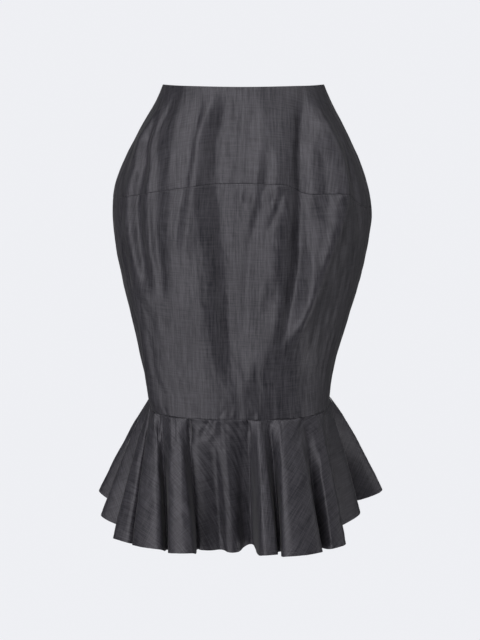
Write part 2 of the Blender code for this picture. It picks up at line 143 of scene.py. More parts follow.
# Folds: the depth is positive for a trough and negative for a ridge, the two half widths lie to
# the right and left of the fold's line, and crisp is 2 for a soft fold and less for a sharper
# one.  The line is a path of (drop, turn).
Fold = namedtuple("Fold", "depth right left path crisp", defaults=(2.0,))
FOLDS = (
    # The right hip: two narrow ridges with deep folds between them, then a low swell.
    Fold(-4.5, 13, 10, ((10, -0.66), (57, -0.71), (76, -0.73), (96, -0.68), (114, -0.645), (141, -0.625),
         (219, -0.605), (256, -0.585), (310, -0.54))),
    Fold(7.0, 7, 16, ((25, -0.65), (57, -0.67), (76, -0.67), (96, -0.625), (114, -0.59), (141, -0.575),
         (192, -0.56), (256, -0.545), (300, -0.51))),
    Fold(-3.5, 9, 9, ((10, -0.60), (40, -0.62), (76, -0.605), (96, -0.555), (114, -0.51), (141, -0.48),
         (167, -0.47), (219, -0.47), (256, -0.465), (310, -0.46))),
    Fold(3.5, 6, 13, ((-10, -0.56), (40, -0.58), (76, -0.555), (96, -0.515), (114, -0.475), (141, -0.45),
         (192, -0.435), (256, -0.425), (310, -0.41))),
    Fold(-3.0, 10, 22, ((-30, -0.46), (40, -0.46), (76, -0.42), (114, -0.37), (141, -0.345),
         (192, -0.35), (256, -0.365), (340, -0.36))),
    # Right of the centre: a narrow ridge, then a broad trough down most of the front.
    Fold(3.2, 20, 8, ((-5, -0.30), (35, -0.305), (70, -0.29), (104, -0.28), (129, -0.28), (166, -0.285),
         (201, -0.30), (250, -0.32))),
    Fold(-3.2, 9, 12, ((0, -0.20), (35, -0.225), (70, -0.25), (104, -0.245), (129, -0.24), (166, -0.245),
         (201, -0.265), (260, -0.30))),
    Fold(14.0, 20, 38, ((-20, -0.09), (39, -0.11), (76, -0.13), (104, -0.125), (130, -0.12),
         (168, -0.105), (202, -0.095), (238, -0.085), (282, -0.075), (330, -0.07), (390, -0.06),
         (440, -0.055))),
    # The centre: shallow folds that run to the right as they fall.
    Fold(2.0, 8, 9, ((25, 0.10), (69, 0.06), (104, 0.04), (134, 0.03), (180, 0.03))),
    Fold(2.6, 8, 8, ((65, 0.15), (104, 0.13), (134, 0.12), (165, 0.095), (200, 0.06), (235, 0.04),
         (360, 0.03))),
    Fold(-2.2, 8, 12, ((50, 0.17), (104, 0.185), (134, 0.18), (165, 0.165), (200, 0.15), (280, 0.11),
         (380, 0.10))),
    Fold(2.0, 4, 5, ((140, 0.195), (152, 0.185), (165, 0.175), (185, 0.15), (205, 0.13))),
    Fold(-3.5, 12, 12, ((120, 0.25), (165, 0.24), (190, 0.22), (218, 0.195), (256, 0.18), (301, 0.20),
         (354, 0.17), (400, 0.14))),
    # Left of the centre: the deepest trough, then one broad face out to a crest at the hip.
    Fold(11.0, 11, 11, ((-8, 0.52), (25, 0.435), (50, 0.395), (75, 0.36), (104, 0.322), (134, 0.30),
         (170, 0.282), (200, 0.28), (240, 0.285), (275, 0.28), (330, 0.26), (380, 0.24)), 1.8),
    Fold(-12.0, 20, 15, ((-10, 0.50), (52, 0.525), (87, 0.54), (120, 0.525), (150, 0.50), (183, 0.465),
         (218, 0.425), (256, 0.38), (300, 0.345), (345, 0.305), (390, 0.27)), 1.8),
    Fold(-10.0, 50, 30, ((-30, 0.56), (60, 0.60), (120, 0.60), (183, 0.55), (256, 0.46), (345, 0.355),
         (420, 0.30))),
    Fold(1.5, 6, 6, ((70, 0.43), (134, 0.42), (165, 0.41), (200, 0.40), (225, 0.38), (300, 0.36))),
    Fold(3.5, 10, 9, ((30, 0.64), (71, 0.625), (106, 0.60), (131, 0.59), (169, 0.60), (206, 0.65),
         (240, 0.71))),
    # Lower down on the right: a broad soft ridge and a slight dip beside it.
    Fold(-8.0, 10, 46, ((250, -0.64), (320, -0.61), (354, -0.62), (414, -0.65), (500, -0.68))),
    Fold(1.4, 8, 8, ((300, -0.54), (340, -0.53), (390, -0.55), (450, -0.58))),
    # The hidden side has like ones.
    Fold(5.5, 18, 18, ((25, 1.30), (140, 1.36), (300, 1.45))),
    Fold(-4.0, 17, 17, ((35, 1.58), (140, 1.60), (260, 1.66))),
    Fold(4.5, 18, 18, ((60, 1.78), (170, 1.80), (330, 1.84))),
    Fold(5.0, 18, 18, ((40, -1.24), (150, -1.22), (280, -1.30))),
    Fold(-4.0, 17, 17, ((30, -1.44), (140, -1.50), (270, -1.56))),
    Fold(6.0, 18, 18, ((15, -1.62), (120, -1.70), (310, -1.76))),
)
FOLD_FADE = 0.20                # share of its length over which a fold dies away at each end

# Short puckers at the seams: where each starts, how far it runs down and how far it leans.
Pucker = namedtuple("Pucker", "turn drop length lean depth half")
PUCKERS = (
    Pucker(-0.13, 141, 18, -0.010, 0.9, 2.6),
    Pucker(-0.07, 140, 22, -0.020, -0.8, 3.0),
    Pucker(-0.02, 139, 20, -0.022, 0.9, 2.4),
    Pucker(0.02, 139, 26, -0.030, -0.9, 3.0),
    Pucker(0.06, 139, 30, -0.035, 1.2, 2.8),
    Pucker(0.13, 141, 24, -0.030, -1.0, 3.2),
    Pucker(0.17, 142, 26, -0.035, 1.3, 2.8),
    Pucker(0.215, 144, 18, -0.030, 1.2, 2.4),
    Pucker(-0.11, 122, 16, 0.000, 0.6, 2.0),
    Pucker(-0.06, 120, 17, 0.000, 0.6, 2.2),
    Pucker(0.00, 119, 17, 0.004, 0.5, 2.0),
    Pucker(0.18, 126, 15, -0.006, 0.6, 2.2),
    Pucker(0.37, 150, 26, 0.020, 0.9, 3.0),
    Pucker(0.43, 152, 22, -0.015, 1.1, 3.0),
    Pucker(0.47, 154, 18, -0.025, -1.0, 2.6),
    Pucker(0.50, 156, 22, -0.030, 1.1, 2.8),
    Pucker(-0.10, 458, 16, -0.035, 0.9, 2.6),
    Pucker(-0.045, 462, 14, -0.012, -0.7, 3.0),
    Pucker(0.09, 464, 12, 0.010, 0.6, 2.6),
    Pucker(-0.33, 464, 12, 0.008, 0.6, 3.0),
    Pucker(1.22, 168, 24, 0.020, 1.0, 3.4),
    Pucker(1.52, 166, 20, -0.020, 0.9, 3.0),
    Pucker(1.71, 164, 26, 0.015, 1.1, 3.4),
    Pucker(-1.18, 168, 22, -0.015, 1.0, 3.2),
    Pucker(-1.36, 166, 26, 0.020, 0.9, 3.2),
    Pucker(-1.81, 164, 22, -0.020, 1.0, 3.0),
)
PUCKER_END = 2.4                # the larger, the sooner a pucker fades towards its ends

# Gentle unevenness, placed by seed: how deep it is, and how long its waves are.
Waves = namedtuple("Waves", "depth seed across down")
BODY_WAVES = (Waves(0.45, 3, 55, 130), Waves(0.20, 4, 17, 40))
FLOUNCE_WAVES = (Waves(0.30, 11, 30, 90), Waves(0.14, 12, 11, 25))
SEAM_DRAW = Waves(0.35, 5, 14, 50)          # a share of the dip along a seam
SEAM_CREEP = Waves(0.22, 6, 9, 50)          # tiny waves close to a seam
PUFF_DRAW = Waves(0.4, 13, 30, 50)          # a share of the flounce's swell below its seam
WAVE_COUNT = 24
CREEP_HALF = 7.0
WAIST_CALM, SEAM_CALM = 40, 20  # unevenness grows over this length from the waist and the seam

# The flutes of the flounce, as in the solids: where each one's trough lies in plan and on the
# knee seam, where its crest lies, which way the crest faces, and how wide and long it is.
Flute = namedtuple("Flute", "trough_at trough_reach trough_seam seam crest_at crest_reach "
                            "facing half_width length")
FLUTES = (
    Flute(-87, 160, -0.955, -0.87, -61, 206, -40, 17, 207),
    Flute(-58, 170, -0.80, -0.68, -44.5, 199, -25, 24, 201),
    Flute(-45, 151, -0.56, -0.45, -28.8, 180, -7, 17.5, 196.5),
    Flute(-33, 113, -0.355, -0.16, -10.5, 99, -8, 14, 202),
    Flute(10, 81, 0.04, 0.115, 14, 170, 5, 10.5, 193),
    Flute(25, 133, 0.19, 0.32, 29.2, 187, 18, 29.5, 196),
    Flute(49, 149, 0.445, 0.57, 52, 185, 40, 15, 196),
    Flute(82, 137, 0.70, 0.84, 102.5, 190, 102, 11, 203),
    Flute(115, 176, 0.985, 1.13, 114, 244, 114, 11, 203),
    Flute(122, 176, 1.24, 1.35, 130, 229, 130, 15, 200),
    Flute(139, 174, 1.455, 1.56, 147, 228, 147, 17, 200),
    Flute(157, 166, 1.665, 1.77, 165, 230, 165, 17, 200),
    Flute(174, 168, 1.865, 1.96, 182, 226, 182, 17, 200),
    Flute(190, 166, 2.05, 2.14, 197, 226, 197, 17, 200),
    Flute(207, 166, 2.235, 2.33, 215, 232, 215, 17, 200),
    Flute(225, 172, 2.425, 2.52, 231, 229, 231, 15, 200),
    Flute(239, 178, 2.625, 2.73, 245, 248, 245, 11, 202),
    Flute(248, 190, 2.845, 2.96, 263, 218, 263, 12, 204),
)
FRONT_FLUTES = 8
FLUTE_STEPS = 8                 # columns between two of a flute's own points
HALF_STEPS = FLUTE_STEPS // 2   # from a trough's first point to its middle
FLUTE_SPREAD = 0.90             # below 1 the flounce leaves its seam in a rounded shoulder
FLUTE_FALL = 1.06               # and above 1 it drops slowly at first
TROUGH_HALF = 2.5               # half of the width over which a trough turns
SHOULDER_SET = 0.32             # a crest's shoulders lie back by this share of its half width

# Soft folds down the flounce, each at so many of the hem's own points, between two distances
# below the seam, and leaning by so many points on its way.
Ripple = namedtuple("Ripple", "place depth half start end lean", defaults=(10, 330, 0.0))
RIPPLES = (
    Ripple(16.5, -1.2, 9),
    Ripple(17.15, 3.5, 8),
    Ripple(18.5, -3.5, 10),
    Ripple(19.6, 2.0, 7),
    Ripple(9.7, 3.6, 6, -15, 52, -0.5),
    Ripple(9.1, -2.4, 6, -15, 42, -0.5),
    Ripple(16.0, 3.4, 6, -15, 48, -0.3),
    Ripple(17.4, 2.8, 5, -12, 38, -1.0),
    Ripple(18.0, -2.2, 6, -12, 38, -0.8),
    Ripple(21.0, 3.0, 6, -15, 66, 0.5),
    Ripple(30.0, 2.8, 7, -12, 40, -1.2),
    Ripple(34.8, 2.4, 7, -12, 44, 0.5),
)
RIPPLE_FADE = 0.3               # share of its length over which one dies away at each end

PUFF = 0.8                      # the flounce swells so much just below its seam
PUFF_AT = 5.0
PINCH = 2.2                     # depth of the small pinch at the root of each trough
PINCH_AT = 11.0
PINCH_HALF = 1.25
PINCH_LEAST = 8.0               # nearer the seam than this it takes in no more columns

# The cut of each piece when laid flat: a body piece's radius at the level of the waist, negative
# where it narrows downwards, and its angle for one turn, and the radius of a lower edge.
YOKE_RADIUS, YOKE_ANGLE, YOKE_HEM = 262.0, 36.0, 427
SKIRT_RADIUS, SKIRT_ANGLE = -1440.0, -11.7
FLOUNCE_RADIUS, FLOUNCE_HEM = 95.0, 295.0                       # at its seam and its hem


# --- Working out places ---------------------------------------------------------------------
def through(points, at):
    """A smooth curve through (x, y) points, read at the given places."""
    x, y = np.array([tuple(p) for p in points], float).T
    slope = np.gradient(y, x)
    at = np.clip(np.asarray(at, float), x[0], x[-1])
    i = np.clip(np.searchsorted(x, at) - 1, 0, len(x) - 2)
    span = x[i + 1] - x[i]
    t = (at - x[i]) / span
    return (y[i] + t * span * slope[i]
            + t * t * (3 * (y[i + 1] - y[i]) - span * (2 * slope[i] + slope[i + 1]))
            + t ** 3 * (span * (slope[i] + slope[i + 1]) - 2 * (y[i + 1] - y[i])))


def body(turn, drop):
    """Points of the smooth body, in millimetres."""
    turn, drop = np.broadcast_arrays(np.asarray(turn, float), np.asarray(drop, float))
    right, left, front, back, swell = (
        through([(s.drop, s[k]) for s in SECTIONS], drop) for k in range(1, len(Section._fields)))
    sine, cosine = np.sin(turn * math.pi / 2), np.cos(turn * math.pi / 2)
    corner = 1 + swell * (2 * sine * cosine) ** 2
    across = np.where(sine >= 0, left, right) * sine * corner
    along = -np.where(cosine >= 0, front, back) * cosine * corner
    return np.stack([across, along, -drop], -1)


def outward(turn, drop):
    """Level directions out of the body, and the millimetres that one turn covers there."""
    small = 1e-3
    step = (body(turn + small, drop) - body(turn - small, drop)) / (2 * small)
    size = np.linalg.norm(step, axis=-1)
    out = np.stack([step[..., 1], -step[..., 0], np.zeros_like(size)], -1)
    return out / size[..., None], size


def soft_step(t):
    """0 up to 0 and 1 from 1 on, smooth between them."""
    t = np.clip(t, 0, 1)
    return t * t * (3 - 2 * t)


def within(t, fade):
    """1 between 0 and 1, easing to 0 at both ends over a share of the way."""
    return soft_step(t / fade) * soft_step((1 - t) / fade)


def hump(t):
    """0 at 0, 1 at 1, and dying away beyond."""
    return t * np.exp(1 - t)


def waves(x, y, row):
    """Gentle unevenness, mostly within the row's depth either way."""
    chance = np.random.default_rng(row.seed)
    total = np.zeros(np.broadcast(x, y).shape)
    for _ in range(WAVE_COUNT):
        across, down = chance.normal(0, 1, 2)
        total += np.cos(2 * math.pi * (x * across / row.across + y * down / row.down + chance.random()))
    return row.depth * total / math.sqrt(WAVE_COUNT)


def sunk(turn, drop, size, top, bottom):
    """How far in the cloth lies of the smooth body, from its folds, puckers and seams."""
    inward = np.zeros_like(size)
    for fold in FOLDS:
        aside = (turn - through(fold.path, drop)) * size
        across = np.exp(-np.abs(aside / np.where(aside < 0, fold.right, fold.left)) ** fold.crisp)
        start, end = fold.path[0][0], fold.path[-1][0]
        inward += fold.depth * across * within((drop - start) / (end - start), FOLD_FADE)
    for pucker in PUCKERS:
        down = (drop - pucker.drop) / pucker.length
        aside = (turn - pucker.turn - pucker.lean * down) * size
        inward += pucker.depth * np.exp(-(aside / pucker.half) ** 2 - ((down - 0.5) * PUCKER_END) ** 4)
    around = turn * QUARTER
    for row in BODY_WAVES:
        inward += waves(around, drop, row) * soft_step(drop / WAIST_CALM)
    draw = 1 + waves(around, 0 * drop, SEAM_DRAW)
    for edge in (drop - top, bottom - drop):
        inward += SEAM_SINK * draw * np.exp(-(edge / SEAM_HALF) ** 2)
        inward += waves(around, 0 * drop, SEAM_CREEP) * np.exp(-(edge / CREEP_HALF) ** 2)
    for seam in (-1, 1):
        inward += SEAM_SINK * np.exp(-((turn - seam) * size / SEAM_HALF) ** 2)
    centre_back = (2 - np.abs(turn)) * size
    inward += BACK_SINK * np.exp(-(centre_back / SEAM_HALF) ** 2)
    return inward


def places(length, step):
    """Shares of a length, close together near both ends."""
    near = np.arange(0, EDGE_BAND, EDGE_FINE)
    edge = near[-1] + EDGE_FINE
    middle = np.linspace(edge, length - edge, round((length - 2 * edge) / step) + 1)
    return np.r_[near, middle, length - near[::-1]] / length


def flat_cut(theta, radius):
    """Where a point lies in the piece laid flat, its middle line upright, in metres."""
    return np.stack([radius * np.sin(theta), -radius * np.cos(theta)], -1) * MM


def body_piece(turns, middle, top, bottom, radius, angle):
    """A piece of the body: its points, and its flat cut, both in metres."""
    turns = turns[None, :]
    start, end = through(top, turns), through(bottom, turns)
    share = places(float(np.mean(end - start)), ROW)[:, None]
    drop = start + (end - start) * share
    turns = turns + 0 * share
    out, size = outward(turns, drop)
    inward = sunk(turns, drop, size, start, end)
    grid = (body(turns, drop) - out * inward[..., None]) * MM
    return grid, flat_cut(np.radians(angle) * (turns - middle), radius + drop)


def under_skirt(turn, above, deep):
    """Points so far above the knee seam, and so far in from the lower skirt's outer face."""
    knee = through(KNEE_SEAM, turn)
    drop = knee - above
    out, size = outward(turn, drop)
    inward = sunk(turn, drop, size, through(YOKE_SEAM, turn), knee) + deep
    return body(turn, drop) - out * inward[..., None]


def plan_point(degrees, reach):
    """A point in plan, its angle measured from the centre front towards the left."""
    angle = math.radians(degrees)
    return np.array([reach * math.sin(angle), -reach * math.cos(angle)])


def closed_curve(points, steps):
    """A smooth closed curve through points in plan, with even steps between each two."""
    points = np.asarray(points)
    before, after, beyond = (np.roll(points, shift, axis=0) for shift in (1, -1, -2))
    reach = [np.sqrt(np.linalg.norm(b - a, axis=1))[:, None]
             for a, b in ((before, points), (points, after), (after, beyond))]
    leave = ((points - before) / reach[0] - (after - before) / (reach[0] + reach[1])) * reach[1]
    leave += after - points
    arrive = ((beyond - after) / reach[2] - (beyond - points) / (reach[1] + reach[2])) * reach[1]
    arrive += after - points
    curve = []
    for step in range(steps):
        t = step / steps
        curve.append(points * (2 * t ** 3 - 3 * t * t + 1) + leave * (t ** 3 - 2 * t * t + t)
                     + after * (3 * t * t - 2 * t ** 3) + arrive * (t ** 3 - t * t))
    return np.stack(curve, 1).reshape(-1, 2)


def hem_points():
    """The hem's own points in plan, and the flounce's length at each.

    A flute has five: two where its trough turns over, and its crest between two shoulders.
    """
    hem, lengths = [], []
    previous = FLUTES[-1]
    for flute in FLUTES:
        crest = plan_point(flute.crest_at, flute.crest_reach)
        face = plan_point(flute.facing, 1)
        aside = np.array([-face[1], face[0]])
        shoulder = crest - face * SHOULDER_SET * flute.half_width
        trough = plan_point(flute.trough_at, flute.trough_reach)
        turn_over = plan_point(flute.trough_at + 90, TROUGH_HALF)
        hem += [trough - turn_over, trough + turn_over, shoulder - aside * flute.half_width,
                crest, shoulder + aside * flute.half_width]
        lengths += [(previous.length + flute.length) / 2] * 2 + [flute.length] * 3
        previous = flute
    return hem, lengths


def flounce_columns():
    """The flounce's columns, once around from the middle of the first trough.

    Gives the hem in plan, how far along it each column lies with its whole length last, each
    one's turn on the knee seam and its length, and how far it lies from the nearest trough.
    """
    hem, lengths = hem_points()
    columns = len(hem) * FLUTE_STEPS
    curve = np.roll(closed_curve(hem, FLUTE_STEPS), -HALF_STEPS, axis=0)
    around = np.r_[0, np.cumsum(np.linalg.norm(np.roll(curve, -1, axis=0) - curve, axis=1))]
    roots = [turn for flute in FLUTES for turn in (flute.trough_seam, flute.seam)]
    known = np.linspace(0, columns, len(roots) + 1)
    known_around = np.interp(known, np.arange(columns + 1), around)
    turn = np.interp(around[:-1], known_around, roots + [roots[0] + 4])
    trough_away = np.min(np.abs(around[:-1, None] - known_around[None, ::2]), axis=1)
    place = (np.arange(columns) + HALF_STEPS) / FLUTE_STEPS
    length = np.interp(place, np.arange(len(hem) + 1), lengths + lengths[:1])
    return curve, around, (turn + 2) % 4 - 2, length, trough_away


def flounce_relief(around, slant, trough_away):
    """How far in the flounce's cloth lies of its plain form."""
    inward = np.zeros_like(slant)
    for row in FLOUNCE_WAVES:
        inward += waves(around, slant, row) * soft_step(slant / SEAM_CALM)
    for ripple in RIPPLES:
        down = (slant - ripple.start) / (ripple.end - ripple.start)
        there = (ripple.place + ripple.lean * down) * FLUTE_STEPS - HALF_STEPS
        aside = (around - np.interp(there, np.arange(len(around)), around)) / ripple.half
        inward += ripple.depth * np.exp(-aside ** 2) * within(down, RIPPLE_FADE)
    inward += SEAM_SINK * np.exp(-(slant / SEAM_HALF) ** 2)
    inward -= PUFF * hump(slant / PUFF_AT) * (1 + waves(around, 0, PUFF_DRAW))
    beside = trough_away * np.maximum(slant, PINCH_LEAST) / FLOUNCE_LENGTH
    inward += PINCH * hump(slant / PINCH_AT) * np.exp(-(beside / PINCH_HALF) ** 2)
    inward += HEM_SINK * np.exp(-((slant[-1] - slant - HEM_FOLD) / HEM_HALF) ** 2)
    return inward


def flounce():
    """The whole flounce, rows from the knee seam to the hem, and its seam allowance, in metres.

    Also how far each column lies along the hem, and each point below the seam.  The first
    column comes again as the last.
    """
    hem, around, turn, length, trough_away = flounce_columns()
    top = under_skirt(turn, 0, -SEAM_SINK)
    tuck = under_skirt(turn, np.array(TUCK_ROWS)[:, None], TUCK_IN)
    away = hem - top[:, :2]
    fall = np.sqrt(length ** 2 - (away ** 2).sum(1))
    share = places(FLOUNCE_LENGTH, FLOUNCE_ROW)[:, None]
    plan = top[:, :2] + away * share[..., None] ** FLUTE_SPREAD
    height = top[:, 2] - fall * share ** FLUTE_FALL
    grid = np.concatenate([plan, height[..., None]], -1)
    grid, tuck = (np.concatenate([points, points[:, :1]], axis=1) for points in (grid, tuck))
    slant = share * np.r_[length, length[0]]
    inward = flounce_relief(around, slant, np.r_[trough_away, trough_away[0]])
    grid = grid - normals(grid) * inward[..., None]
    return grid * MM, tuck * MM, around, slant


def normals(grid):
    """Directions out of a piece's outer face."""
    out = np.cross(np.gradient(grid, axis=0), np.gradient(grid, axis=1))
    return out / np.linalg.norm(out, axis=-1, keepdims=True)


def turned_in(grid, flat, top, bottom, tuck=None):
    """The piece with its upper and lower edges folded back along its inside, so far each.

    A tuck is given where the upper one lies another way.
    """
    out = normals(grid)
    inner = grid - out * FOLD_IN * MM
    edge = grid - out * EDGE_IN * MM
    down = np.linalg.norm(np.diff(grid[:, grid.shape[1] // 2], axis=0), axis=-1).cumsum() / MM
    from_top = np.searchsorted(down, top)
    from_bottom = np.searchsorted(down[-1] - down[::-1], bottom)
    first = inner[1:from_top + 1][::-1] if tuck is None else tuck
    last = inner[-from_bottom - 1:-1][::-1]
    first_flat, last_flat = flat[1:len(first) + 1][::-1], flat[-from_bottom - 1:-1][::-1]
    return (np.concatenate([first, edge[:1], grid[1:-1], edge[-1:], last]),
            np.concatenate([first_flat, flat, last_flat]))


def closed_sides(grid, flat, part_first=0.0, part_last=0.0):
    """The piece with its side edges turned in, clear of its neighbours and parted at the waist."""
    grid = grid.copy()
    below = np.linalg.norm(grid - grid[:1], axis=-1) / MM
    for edge, beside, part in ((0, 1, part_first), (-1, -2, part_last)):
        step = grid[:, beside] - grid[:, edge]
        along = step / np.linalg.norm(step, axis=-1, keepdims=True)
        parted = part * np.clip(1 - below[:, edge, None] / PART_LENGTH, 0, 1)
        away = np.linalg.norm(grid - grid[:, edge, None], axis=-1) / MM
        fades = np.clip(1 - away / PART_FADE, 0, 1)
        grid += along[:, None] * parted[:, None] * fades[..., None] * MM
        grid[:, edge] += along * SIDE_GAP * MM
    inner = grid - normals(grid) * FOLD_IN * MM
    return (np.concatenate([inner[:, :1], grid, inner[:, -1:]], axis=1),
            np.concatenate([flat[:, :1], flat, flat[:, -1:]], axis=1))


# --- Finishes -------------------------------------------------------------------------------
# Noise along the threads: how often it repeats in a metre across and along the warp, how much
# fine detail it has, and its share of the cloth's colour.
Threads = namedtuple("Threads", "across along detail share")
SLUBS = Threads(520, 24, 3.0, 0.45)
FINE = Threads(1500, 90, 2.0, 0.18)
WEFT = Threads(36, 600, 2.0, 0.24)
CLOUDS = Threads(60, 7, 2.0, 0.13)
THREAD_HEIGHT = 0.2 * MM


def new_material(name, colour, roughness, metallic=0.0):
    """A plain finish, with its node tree and its shader."""
    made = bpy.data.materials.new(name)
    made.use_nodes = True
    shader = made.node_tree.nodes["Principled BSDF"]
    shader.inputs["Base Color"].default_value = (*colour, 1)
    shader.inputs["Roughness"].default_value = roughness
    shader.inputs["Metallic"].default_value = metallic
    made.diffuse_color = (*colour, 1)
    return made, made.node_tree, shader


def node(tree, kind, **values):
    """A node with its properties or input values set by name."""
    made = tree.nodes.new(kind)
    for name, value in values.items():
        if hasattr(made, name):
            setattr(made, name, value)
        else:
            made.inputs[name.replace("_", " ")].default_value = value
    return made


def threads(tree, coordinates, scale, detail):
    """Noise drawn out along the axes of its coordinates, about 0 to 1."""
    mapping = node(tree, "ShaderNodeMapping", Scale=scale)
    tree.links.new(coordinates, mapping.inputs["Vector"])
    noise = node(tree, "ShaderNodeTexNoise", Scale=1.0, Detail=detail, Roughness=0.6)
    tree.links.new(mapping.outputs["Vector"], noise.inputs["Vector"])
    return noise.outputs["Fac"]


def math_node(tree, operation, *values):
    """The result of a sum on numbers and other nodes' outputs."""
    made = node(tree, "ShaderNodeMath", operation=operation)
    for socket, value in zip(made.inputs, values):
        if isinstance(value, (int, float)):
            socket.default_value = value
        else:
            tree.links.new(value, socket)
    return made.outputs[0]


def two_tones(tree, shader, pattern, dark, light, start=0.0, end=1.0):
    """Colours the shader from dark to light as the pattern runs from start to end."""
    ramp = node(tree, "ShaderNodeValToRGB")
    for element, place, tone in zip(ramp.color_ramp.elements, (start, end), (dark, light)):
        element.position = place
        element.color = (*tone, 1)
    tree.links.new(pattern, ramp.inputs["Fac"])
    tree.links.new(ramp.outputs["Color"], shader.inputs["Base Color"])


def raised(tree, shader, height, strength):
    """Lets the light catch a pattern as if it stood up by a thread's height."""
    bump = node(tree, "ShaderNodeBump", Strength=strength, Distance=THREAD_HEIGHT)
    tree.links.new(height, bump.inputs["Height"])
    tree.links.new(bump.outputs["Normal"], shader.inputs["Normal"])


def cloth_material():
    """Charcoal suiting: slubs and fine threads along the warp, crossed by the weft's."""
    made, tree, shader = new_material("charcoal_suiting", (0.055, 0.054, 0.062), 0.40)
    grain = node(tree, "ShaderNodeUVMap", uv_map="grain").outputs["UV"]
    rows = (SLUBS, FINE, WEFT, CLOUDS)
    slubs, fine, weft, clouds = (threads(tree, grain, (row.across, row.along, 1), row.detail)
                                 for row in rows)
    mixed = 0.0
    for pattern, row in zip((slubs, fine, weft, clouds), rows):
        mixed = math_node(tree, "MULTIPLY_ADD", pattern, row.share, mixed)
    two_tones(tree, shader, mixed, (0.0180, 0.0172, 0.0222), (0.0660, 0.0632, 0.0735), 0.415, 0.585)
    height = math_node(tree, "MULTIPLY_ADD", weft, 0.4, fine)
    height = math_node(tree, "MULTIPLY_ADD", slubs, 0.6, height)
    raised(tree, shader, height, 0.35)
    shader.inputs["Specular IOR Level"].default_value = 0.5
    shader.inputs["Specular Tint"].default_value = (0.965, 0.935, 1.0, 1)
    shader.inputs["Sheen Weight"].default_value = 0.12
    shader.inputs["Sheen Roughness"].default_value = 0.35
    return made


def tape_material():
    """The close ribs of a woven zip tape."""
    made, tree, shader = new_material("zip_tape_weave", (0.03, 0.03, 0.033), 0.8)
    place = node(tree, "ShaderNodeTexCoord").outputs["Object"]
    ribs = threads(tree, place, (900, 900, 250), 2.0)
    raised(tree, shader, ribs, 0.5)
    two_tones(tree, shader, ribs, (0.020, 0.020, 0.023), (0.045, 0.045, 0.050))
    return made


def metal_material():
    """Blackened metal, a little worn."""
    made, tree, shader = new_material("blackened_metal", (0.09, 0.09, 0.095), 0.35, 1.0)
    place = node(tree, "ShaderNodeTexCoord").outputs["Object"]
    wear = threads(tree, place, (700, 700, 260), 3.0)
    rough = math_node(tree, "MULTIPLY_ADD", wear, 0.3, 0.2)
    tree.links.new(rough, shader.inputs["Roughness"])
    two_tones(tree, shader, wear, (0.06, 0.06, 0.065), (0.13, 0.13, 0.135), 0.3, 0.75)
    return made


CHARCOAL, TAPE, METAL = cloth_material(), tape_material(), metal_material()


# --- Making the pieces ----------------------------------------------------------------------
def add_mesh(name, points, faces, finish):
    """A smooth mesh through points in metres, as an object in the scene."""
    mesh = bpy.data.meshes.new(name)
    mesh.from_pydata(points.tolist(), [], faces)
    mesh.shade_smooth()
    mesh.materials.append(finish)
    made = bpy.data.objects.new(name, mesh)
    bpy.context.scene.collection.objects.link(made)
    return made


def cloth(name, grid, flat, finish, replaced):
    """A thin shell through the grid's points, with its flat cut kept as the grain."""
    index = np.arange(grid.shape[0] * grid.shape[1]).reshape(grid.shape[:2])
    faces = np.stack([index[:-1, :-1], index[1:, :-1], index[1:, 1:], index[:-1, 1:]], -1).reshape(-1, 4)
    made = add_mesh(name, grid.reshape(-1, 3), faces.tolist(), finish)
    grain = made.data.uv_layers.new(name="grain")
    grain.data.foreach_set("uv", flat.reshape(-1, 2)[faces.ravel()].ravel())
    wall = made.modifiers.new("wall", "SOLIDIFY")
    wall.thickness = CLOTH * MM
    wall.offset = -1
    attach(made, "skirt")
    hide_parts(replaced)
    return made


Part = namedtuple("Part", "name top bottom radius angle fold")
Side = namedtuple("Side", "name turns middle share sewn_to part_first part_last")


def make_body():
    """The yoke and the lower skirt, each in a front and two halves of the back."""
    front = places(2 * QUARTER, FRONT_COLUMN) * 2 - 1
    back = places(QUARTER, BACK_COLUMN)
    sides = (Side("front", front, 0, 1.0, "back_left", 0.0, 0.0),
             Side("back_left", 1 + back, 2, 0.5, "front", 0.0, PART_TOP),
             Side("back_right", back - 2, -2, 0.5, "front", PART_TOP, 0.0))
    parts = (Part("yoke", WAIST_EDGE, YOKE_SEAM, YOKE_RADIUS, YOKE_ANGLE, WAIST_FOLD),
             Part("skirt", YOKE_SEAM, KNEE_SEAM, SKIRT_RADIUS, SKIRT_ANGLE, SEAM_FOLD))
    for side in sides:
        for part in parts:
            grid, flat = body_piece(side.turns, side.middle, part.top, part.bottom, part.radius, part.angle)
            if part.name == "yoke":
                grid, flat = closed_sides(grid, flat, side.part_first, side.part_last)
            else:
                grid, flat = closed_sides(grid, flat)
            grid, flat = turned_in(grid, flat, part.fold, SEAM_FOLD)
            piece = f"{part.name}_{side.name}"
            made = cloth(f"{piece}_cloth", grid, flat, CHARCOAL, piece)


def make_flounce():
    """The flounce's front and back, parted at the side seams."""
    grid, tuck, around, slant = flounce()
    split = (grid.shape[1] - 1) * FRONT_FLUTES // len(FLUTES)
    for side, first, last in (("front", 0, split), ("back", split, grid.shape[1] - 1)):
        keep = slice(first, last + 1)
        middle = (around[first] + around[last]) / 2
        flat = flat_cut((around[keep] - middle) / FLOUNCE_HEM, FLOUNCE_RADIUS + slant[:, keep])
        behind_skirt, _ = closed_sides(tuck[:, keep], flat[:len(tuck)])
        piece, flat = turned_in(*closed_sides(grid[:, keep], flat), SEAM_FOLD, HEM_FOLD, behind_skirt)
        made = cloth(f"flounce_{side}_cloth", piece, flat, CHARCOAL, f"flounce_{side}")


def on_tape(aside, drop):
    """A point of the tapes' outer face, so far towards the left of the centre back."""
    turn = np.where(aside >= 0, 2.0, -2.0)
    out, size = outward(turn, drop)
    turn = turn - aside / size
    out, size = outward(turn, drop)
    return body(turn, drop) - out * TAPE_IN


